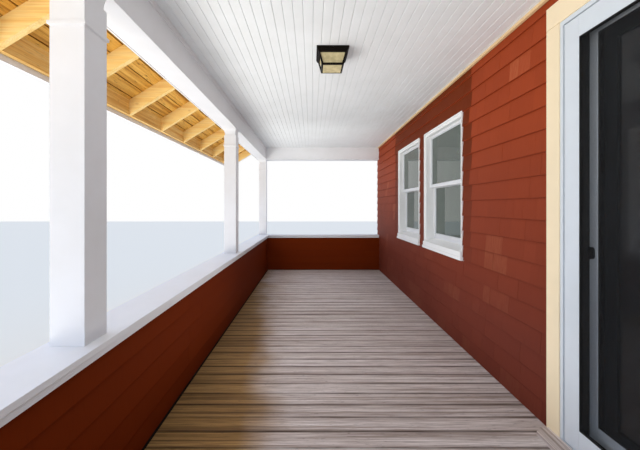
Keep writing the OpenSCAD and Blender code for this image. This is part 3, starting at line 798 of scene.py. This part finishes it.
# Exterior white has gone slightly grey and dull; fresh gloss is whiter. The
# orange peel is drawn coarser than it is, so that it shows.
white = white_paint("white_exterior_paint", "#ECEDF0", 0.45)
dress(white, "cap_rail", "post_1", "post_2", "post_3", "post_4", "front_beam",
      "left_beam", "right_beam", "fascia", "barge_boards", "step_stringers")
dress(white_paint("fresh_white_gloss_paint", "#F8F8F7", 0.4), "window_casings")

# Lines under the front beam
# The beam's outer board shows its lower edge outside the bottom board. A dark joint runs between
# the two, and a dark strip along the beam's outer face is painted shadow where the beam meets the
# eave timber.

beam_left, beam_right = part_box("front_beam")
outer_board = 0.012
line_inset = 0.002
line_high = 0.004
joint_and_shadow_parts = []
# The first strip is painted shadow at the outer edge; the second is the joint.
for near, far, low in ((-0.003, 0.0, 0.001), (outer_board, outer_board + 0.002, -0.0008)):
    joint_and_shadow_parts.append(toned_board(
        (beam_left.x + line_inset, beam_left.y + near, beam_left.z + low),
        (beam_right.x - line_inset, beam_left.y + far, beam_left.z + low + line_high), 0.0004))
# Dull grey brown wood for the joint and the painted shadow strip.
joint_and_shadow_wood = pine("grey_brown_wood_joint_and_painted_shadow", 0, "#7A5A3C", "#5A4028", "#3B291F")
beam_joint_and_shadow = join("beam_joint_and_painted_shadow_lines", joint_and_shadow_parts, joint_and_shadow_wood, "porch")

# Boarded ceiling
# Painted beaded boards along the porch, 118 mm wide with a bead in the middle,
# so that a groove shows every 59 mm. They are nailed up under the joists.

ceiling_low, ceiling_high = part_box("ceiling_boards")
groove_pitch = 0.059
groove_wide = 0.006
groove_deep = 0.005
bead_deep = groove_deep * 0.6
ceiling_parts = []
y = ceiling_low.y
index = 0
while y < ceiling_high.y - 0.002:
    wide = min(groove_pitch, ceiling_high.y - y)
    deep = groove_deep if index % 2 else bead_deep
    profile = [(y, ceiling_low.z + deep), (y + groove_wide / 2, ceiling_low.z),
               (y + wide - groove_wide / 2, ceiling_low.z), (y + wide, ceiling_low.z + deep),
               (y + wide, ceiling_high.z), (y, ceiling_high.z)]
    points = [(x, *p) for x in (ceiling_low.x, ceiling_high.x) for p in profile]
    n = len(profile)
    faces = [list(range(n)), list(range(2 * n - 1, n - 1, -1))]
    faces += [[k, (k + 1) % n, n + (k + 1) % n, n + k] for k in range(n)]
    ceiling_parts.append((points, faces, shades.random()))
    y += wide
    index += 1
# Flat white on the ceiling, tan old varnish on its strip, warm cream on the house.
ceiling_white = white_paint("white_ceiling_paint", "#E9ECEE", 0.55)
beaded = join("beaded_ceiling", ceiling_parts, ceiling_white, "porch", "ceiling_boards")
dress(white_paint("cream_trim_under_old_varnish", "#E9C796", 0.5), "ceiling_strip")
cream = white_paint("cream_house_paint", "#FCE8C4", 0.5)
dress(cream, "house_wall_left", "house_wall_right", "house_wall_over_door")

# Roof boards
# Square-edged pine boards nailed across the rafters with open joints, so that
# dark lines show between them from below at the eaves.


def on_roof(points, lift):
    """Points given along X, up the slope and out of it, turned onto the roof."""
    length = math.sqrt(1 + pitch * pitch)
    up = Vector((0, 1 / length, pitch / length))
    out = Vector((0, -pitch / length, 1 / length))
    base = Vector((0, fascia_front, roof_under(fascia_front) + lift))
    return [tuple(base + Vector((p[0], 0, 0)) + up * p[1] + out * p[2]) for p in points]


sheath_low, sheath_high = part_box("roof_sheathing")
sheath_thick = 0.019
slope_length = (back_face - fascia_front) * math.sqrt(1 + pitch * pitch)
roof_board_wide = 0.098
roof_board_gap = 0.008
roof_board_edge = 0.0012
narrowest_board = 0.03
end_gap = 0.002
first_rafter = -3.38
rafter_spacing = 0.61
rafters_crossed = 12
roof_parts = []
at = 0.0
while at < slope_length - narrowest_board:
    wide = min(roof_board_wide, slope_length - at)
    # Each row is cut over two of the rafters.
    cuts = [sheath_low.x] + sorted(
        first_rafter + rafter_spacing * k for k in shades.sample(range(rafters_crossed), 2)
    ) + [sheath_high.x]
    for left, right in zip(cuts, cuts[1:]):
        points, faces, tone = toned_board(
            (left + end_gap / 2, at, 0), (right - end_gap / 2, at + wide, sheath_thick),
            roof_board_edge)
        roof_parts.append((on_roof(points, rafter_rise), faces, tone))
    at += roof_board_wide + roof_board_gap
# Rough boards are deeper gold than the rafters, streaked and flecked with bark.
board_wood = pine("rough_spruce_roof_board", 0, "#F6C968", "#E5B04E", "#B9802E", 0.65, 0.8)
roof_boards = join("roof_boarding", roof_parts, board_wood, "porch", "roof_sheathing")

# Roof shingles
# Three-tab mineral-faced shingles in charcoal, laid in half-bond over the
# boards. The sheet that the tabs are part of closes the slots between them.

# Slate grit gives a dull speckle. It is drawn twice as coarse as it is.
asphalt, tree, shader = new_finish("mineral_faced_shingle")
split = add_node(tree, "ShaderNodeSeparateColor", {0: board_tone(tree)})
grit = stretched_noise(tree, (4, 4, 4), detail=2.0)
colour = ramp(tree, split.outputs[0], [(0.0, "#4A4A4C"), (0.6, "#5C5B5C"), (1.0, "#6E6A68")])
colour = mix(tree, 0.6, colour, ramp(tree, grit, [(0.3, "#7C7C7E"), (0.7, "#FFFFFF")]),
             "MULTIPLY")
tree.links.new(colour, shader.inputs["Base Color"])
shader.inputs["Roughness"].default_value = 0.9
add_bump(tree, shader, grit, 1.2)
cover_low, cover_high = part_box("roof_covering")
cover_lift = rafter_rise + 0.02226
tab_foot = 0.009
tab_head = 0.0045
tab_wide = 0.305
tab_show = 0.127
tab_slot = 0.005
sheet_thick = 0.004
overhang = 0.016
ridge_gap = 0.006
cover_parts = []
for row in range(int((slope_length + overhang) / tab_show) + 1):
    low = -overhang + row * tab_show
    high = min(low + tab_show, slope_length - ridge_gap)
    if high - low < 0.02:
        break
    along = cover_low.x - (tab_wide / 2 if row % 2 else 0)
    while along < cover_high.x - 0.001:
        left = max(along, cover_low.x)
        right = min(along + tab_wide, cover_high.x)
        if right - left > 0.01:
            points = wedge((left + tab_slot / 2, right - tab_slot / 2), (low, tab_foot),
                           (high, tab_head))
            cover_parts.append((on_roof(points, cover_lift), wedge_faces, shades.random()))
        along += tab_wide
    points = wedge((cover_low.x, cover_high.x), (low, sheet_thick), (high, sheet_thick))
    cover_parts.append((on_roof(points, cover_lift), wedge_faces, 0.0))
shingled_roof = join("roof_shingling", cover_parts, asphalt, "porch", "roof_covering")

# Windows
# Two double-hung windows. Each sash is four painted pine bars with a small
# bead round a sheet of clear float glass; the upper one is nearer to the porch.


def bar_ring(low, high, stile, top, bottom, bead, edge):
    """Two stiles and two rails round an opening, with a bead set back round it."""
    inner_low = (low[0] + stile, low[2] + bottom)
    inner_high = (high[0] - stile, high[2] - top)
    bars = [((low[0], low[2]), (inner_low[0], high[2])),
            ((inner_high[0], low[2]), (high[0], high[2])),
            ((inner_low[0], low[2]), (inner_high[0], inner_low[1])),
            ((inner_low[0], inner_high[1]), (inner_high[0], high[2]))]
    wide, deep = bead
    beads = [(inner_low, (inner_low[0] + wide, inner_high[1])),
             ((inner_high[0] - wide, inner_low[1]), inner_high),
             ((inner_low[0] + wide, inner_low[1]), (inner_high[0] - wide, inner_low[1] + wide)),
             ((inner_low[0] + wide, inner_high[1] - wide), (inner_high[0] - wide, inner_high[1]))]
    return [toned_board((a[0], low[1] + back, a[1]), (b[0], high[1] - back, b[1]), edge)
            for strips, back in ((bars, 0.0), (beads, deep)) for a, b in strips]


sash_low, sash_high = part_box("window_sashes")
sash_half = 0.424
sash_thick = 0.033
sash_stile = 0.021
sash_bead = (0.005, 0.007)
sash_edge = 0.0012
foot_rail = 0.05
meeting_rail = 0.035
meeting = deck_top + 1.437
sash_parts = []
for x in window_middles:
    sash_parts += bar_ring(
        (x - sash_half, sash_low.y, meeting - meeting_rail / 2),
        (x + sash_half, sash_low.y + sash_thick, sash_high.z),
        sash_stile, sash_stile, meeting_rail, sash_bead, sash_edge)
    sash_parts += bar_ring(
        (x - sash_half, sash_high.y - sash_thick, sash_low.z),
        (x + sash_half, sash_high.y, meeting + meeting_rail / 2),
        sash_stile, meeting_rail, foot_rail, sash_bead, sash_edge)
sashes = join("window_bars", sash_parts, white, "porch", "window_sashes")

# Float glass with dark behind it is a dark green mirror, slightly wavy and filmed.
glass, tree, shader = new_finish("clear_float_glass")
wave = stretched_noise(tree, (420, 420, 420), detail=1.0)
film = stretched_noise(tree, (90, 90, 240), detail=4.0, seed=2.0)
colour = ramp(tree, film, [(0.35, "#36443A"), (0.7, "#465648")])
tree.links.new(colour, shader.inputs["Base Color"])
tree.links.new(ramp(tree, film, [(0.4, 0.015), (0.8, 0.05)]), shader.inputs["Roughness"])
shader.inputs["IOR"].default_value = 1.7
add_bump(tree, shader, wave, 0.4)
dress(glass, "window_glass")

# Patio door
# Extruded white vinyl frame between three cream boards. Behind it are two glazed
# panels of welded vinyl, and in front of them a wide flat frame holds the screen.

# Coated double glazing is nearly black by day, with a soft haze on its gloss.
coated, tree, shader = new_finish("coated_double_glazing")
haze = stretched_noise(tree, (260, 260, 700), detail=3.0)
tree.links.new(ramp(tree, haze, [(0.35, "#17191B"), (0.7, "#232526")]),
               shader.inputs["Base Color"])
tree.links.new(ramp(tree, haze, [(0.4, 0.03), (0.8, 0.08)]), shader.inputs["Roughness"])
shader.inputs["Specular IOR Level"].default_value = 0.5
add_bump(tree, shader, haze, 0.3)
dress(coated, "fixed_glass", "sliding_glass")

frame_low, frame_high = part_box("door_frame")
casing_top = frame_high.z
butt_joint = 0.0016
casing_edge = 0.002
casing_parts = []
for a, b in (((casing_low.x, casing_low.z), (frame_low.x, casing_top - butt_joint / 2)),
             ((frame_high.x, casing_low.z), (casing_high.x, casing_top - butt_joint / 2)),
             ((casing_low.x, casing_top + butt_joint / 2), (casing_high.x, casing_high.z))):
    casing_parts.append(toned_board((a[0], casing_low.y, a[1]), (b[0], casing_high.y, b[1]),
                                    casing_edge))
casing = join("door_casing_boards", casing_parts, cream, "porch", "door_casing")

# Extruded vinyl is a cool, smooth, slightly glossy white with crisp edges.
vinyl = white_paint("extruded_white_vinyl", "#DCE3EA", 0.35, 1.5)
dress(vinyl, "door_frame")


def around(node, pane):
    """Box of a framed node, and the widths of its stile, top and bottom rail round its pane."""
    low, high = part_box(node)
    inner_low, inner_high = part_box(pane)
    return low, high, inner_low.x - low.x, high.z - inner_high.z, inner_low.z - low.z


def plain_ring(low, high, stile, top, bottom, edge):
    """The four bars of a ring, without its bead."""
    return bar_ring(low, high, stile, top, bottom, (0.0, 0.0), edge)[:4]


for name, node, pane, body, edge in (
        ("fixed_bars", "fixed_panel", "fixed_glass", "porch", 0.0012),
        ("sliding_bars", "sliding_panel", "sliding_glass", "sliding_door", 0.0012),
        ("screen_bars", "screen_panel", "screen_mesh", "screen_door", 0.0015)):
    bars = join(name, plain_ring(*around(node, pane), edge), vinyl, body, node)

# Rubber round the glass and the screen gives a fine dull black line.
rubber = black_stuff("black_rubber_spline", 3, 3.0, "#151515", "#232322", 0.7, 0.4)


def seal(name, low, high, wide, body):
    """A rubber ring of the given width inside the box from low to high."""
    parts = plain_ring(low, high, wide, wide, wide, min(0.0006, wide / 4))
    piece = join(name, parts, rubber, body)


for name, node, pane, back, wide, body in (
        ("screen_spline", "screen_panel", "screen_mesh", 0.001, 0.003, "screen_door"),
        ("fixed_gasket", "fixed_panel", "fixed_glass", 0.003, 0.005, "porch"),
        ("sliding_gasket", "sliding_panel", "sliding_glass", 0.003, 0.005, "sliding_door")):
    low, high, stile, top, bottom = around(node, pane)
    seal(name, (low.x + stile, low.y + back, low.z + bottom),
         (high.x - stile, high.y - back, high.z - top), wide, body)
jamb = 0.057
sill_rise = 0.04
head_drop = 0.052
pocket = (0.029, 0.134)
# A black ring 2 mm wide lines the inner faces of the frame's pocket, so that the jamb there shows
# dark behind the screen.
seal("pocket_lining", (frame_low.x + jamb, wall_face + pocket[0], deck_top + sill_rise),
     (frame_high.x - jamb, wall_face + pocket[1], casing_top - head_drop), 0.002, "porch")

# Black threads 1.5 mm apart, nearly all air: the screen only dims what is behind.
screen, tree, shader = new_finish("woven_black_screen")
threads = 210.0
where = add_node(tree, "ShaderNodeTexCoord").outputs["Object"]
across = add_node(tree, "ShaderNodeTexWave", {"Vector": where, "Scale": threads},
                  bands_direction="X")
upward = add_node(tree, "ShaderNodeTexWave", {"Vector": where, "Scale": threads},
                  bands_direction="Z")
weave = add_node(tree, "ShaderNodeMath", {0: across.outputs["Fac"], 1: upward.outputs["Fac"]},
                 operation="MAXIMUM").outputs[0]
tree.links.new(ramp(tree, weave, [(0.2, "#191A1C"), (0.9, "#2E2F31")]),
               shader.inputs["Base Color"])
tree.links.new(ramp(tree, weave, [(0.2, 0.06), (0.9, 0.2)]), shader.inputs["Alpha"])
shader.inputs["Roughness"].default_value = 0.7
add_bump(tree, shader, weave, 0.4)
dress(screen, "screen_mesh")

# Moulded nylon has a satin face with the fine grain of its mould.
latch = black_stuff("moulded_black_nylon", 1.2, 3.0, "#121212", "#1C1C1C", 0.4, 0.15)
dress(latch, "door_latch")

# Ceiling lantern
# Pressed steel canopy and tapered frame in dark bronze enamel, screwed up to
# the ceiling, with four cream frosted panes and a fifth underneath.

# Old enamel is nearly black, with brown patches that have gone dull.
bronze, tree, shader = new_finish("dark_bronze_enamel")
mottle = stretched_noise(tree, (14, 14, 14), detail=5.0)
tree.links.new(ramp(tree, mottle, [(0.35, "#0D0A06"), (0.7, "#18110B")]),
               shader.inputs["Base Color"])
tree.links.new(ramp(tree, mottle, [(0.35, 0.32), (0.7, 0.5)]), shader.inputs["Roughness"])
shader.inputs["Specular IOR Level"].default_value = 0.1
eased = add_node(tree, "ShaderNodeBevel", {"Radius": 0.0015}, samples=4)
bump = add_node(tree, "ShaderNodeBump", {"Height": mottle, "Distance": 0.0002,
                                         "Normal": eased.outputs[0]})
tree.links.new(bump.outputs[0], shader.inputs["Normal"])
dress(bronze, "lantern_frame")

# Frosted glass is a cloudy cream, with a faint painted glow that stands for daylight through it.
frosted, tree, shader = new_finish("cream_frosted_glass")
cloud = stretched_noise(tree, (35, 35, 35), detail=3.0)
speck = stretched_noise(tree, (1.5, 1.5, 1.5), detail=2.0, seed=1.0)
tree.links.new(ramp(tree, cloud, [(0.35, "#AFA176"), (0.65, "#CFC093")]),
               shader.inputs["Base Color"])
shader.inputs["Roughness"].default_value = 0.45
# Painted light: a weak emission makes the panes glow, though they are no lamp.
shader.inputs["Emission Color"].default_value = linear("#CDBE98")
shader.inputs["Emission Strength"].default_value = 0.07
add_bump(tree, shader, speck, 0.2)
dress(frosted, "lantern_glass")
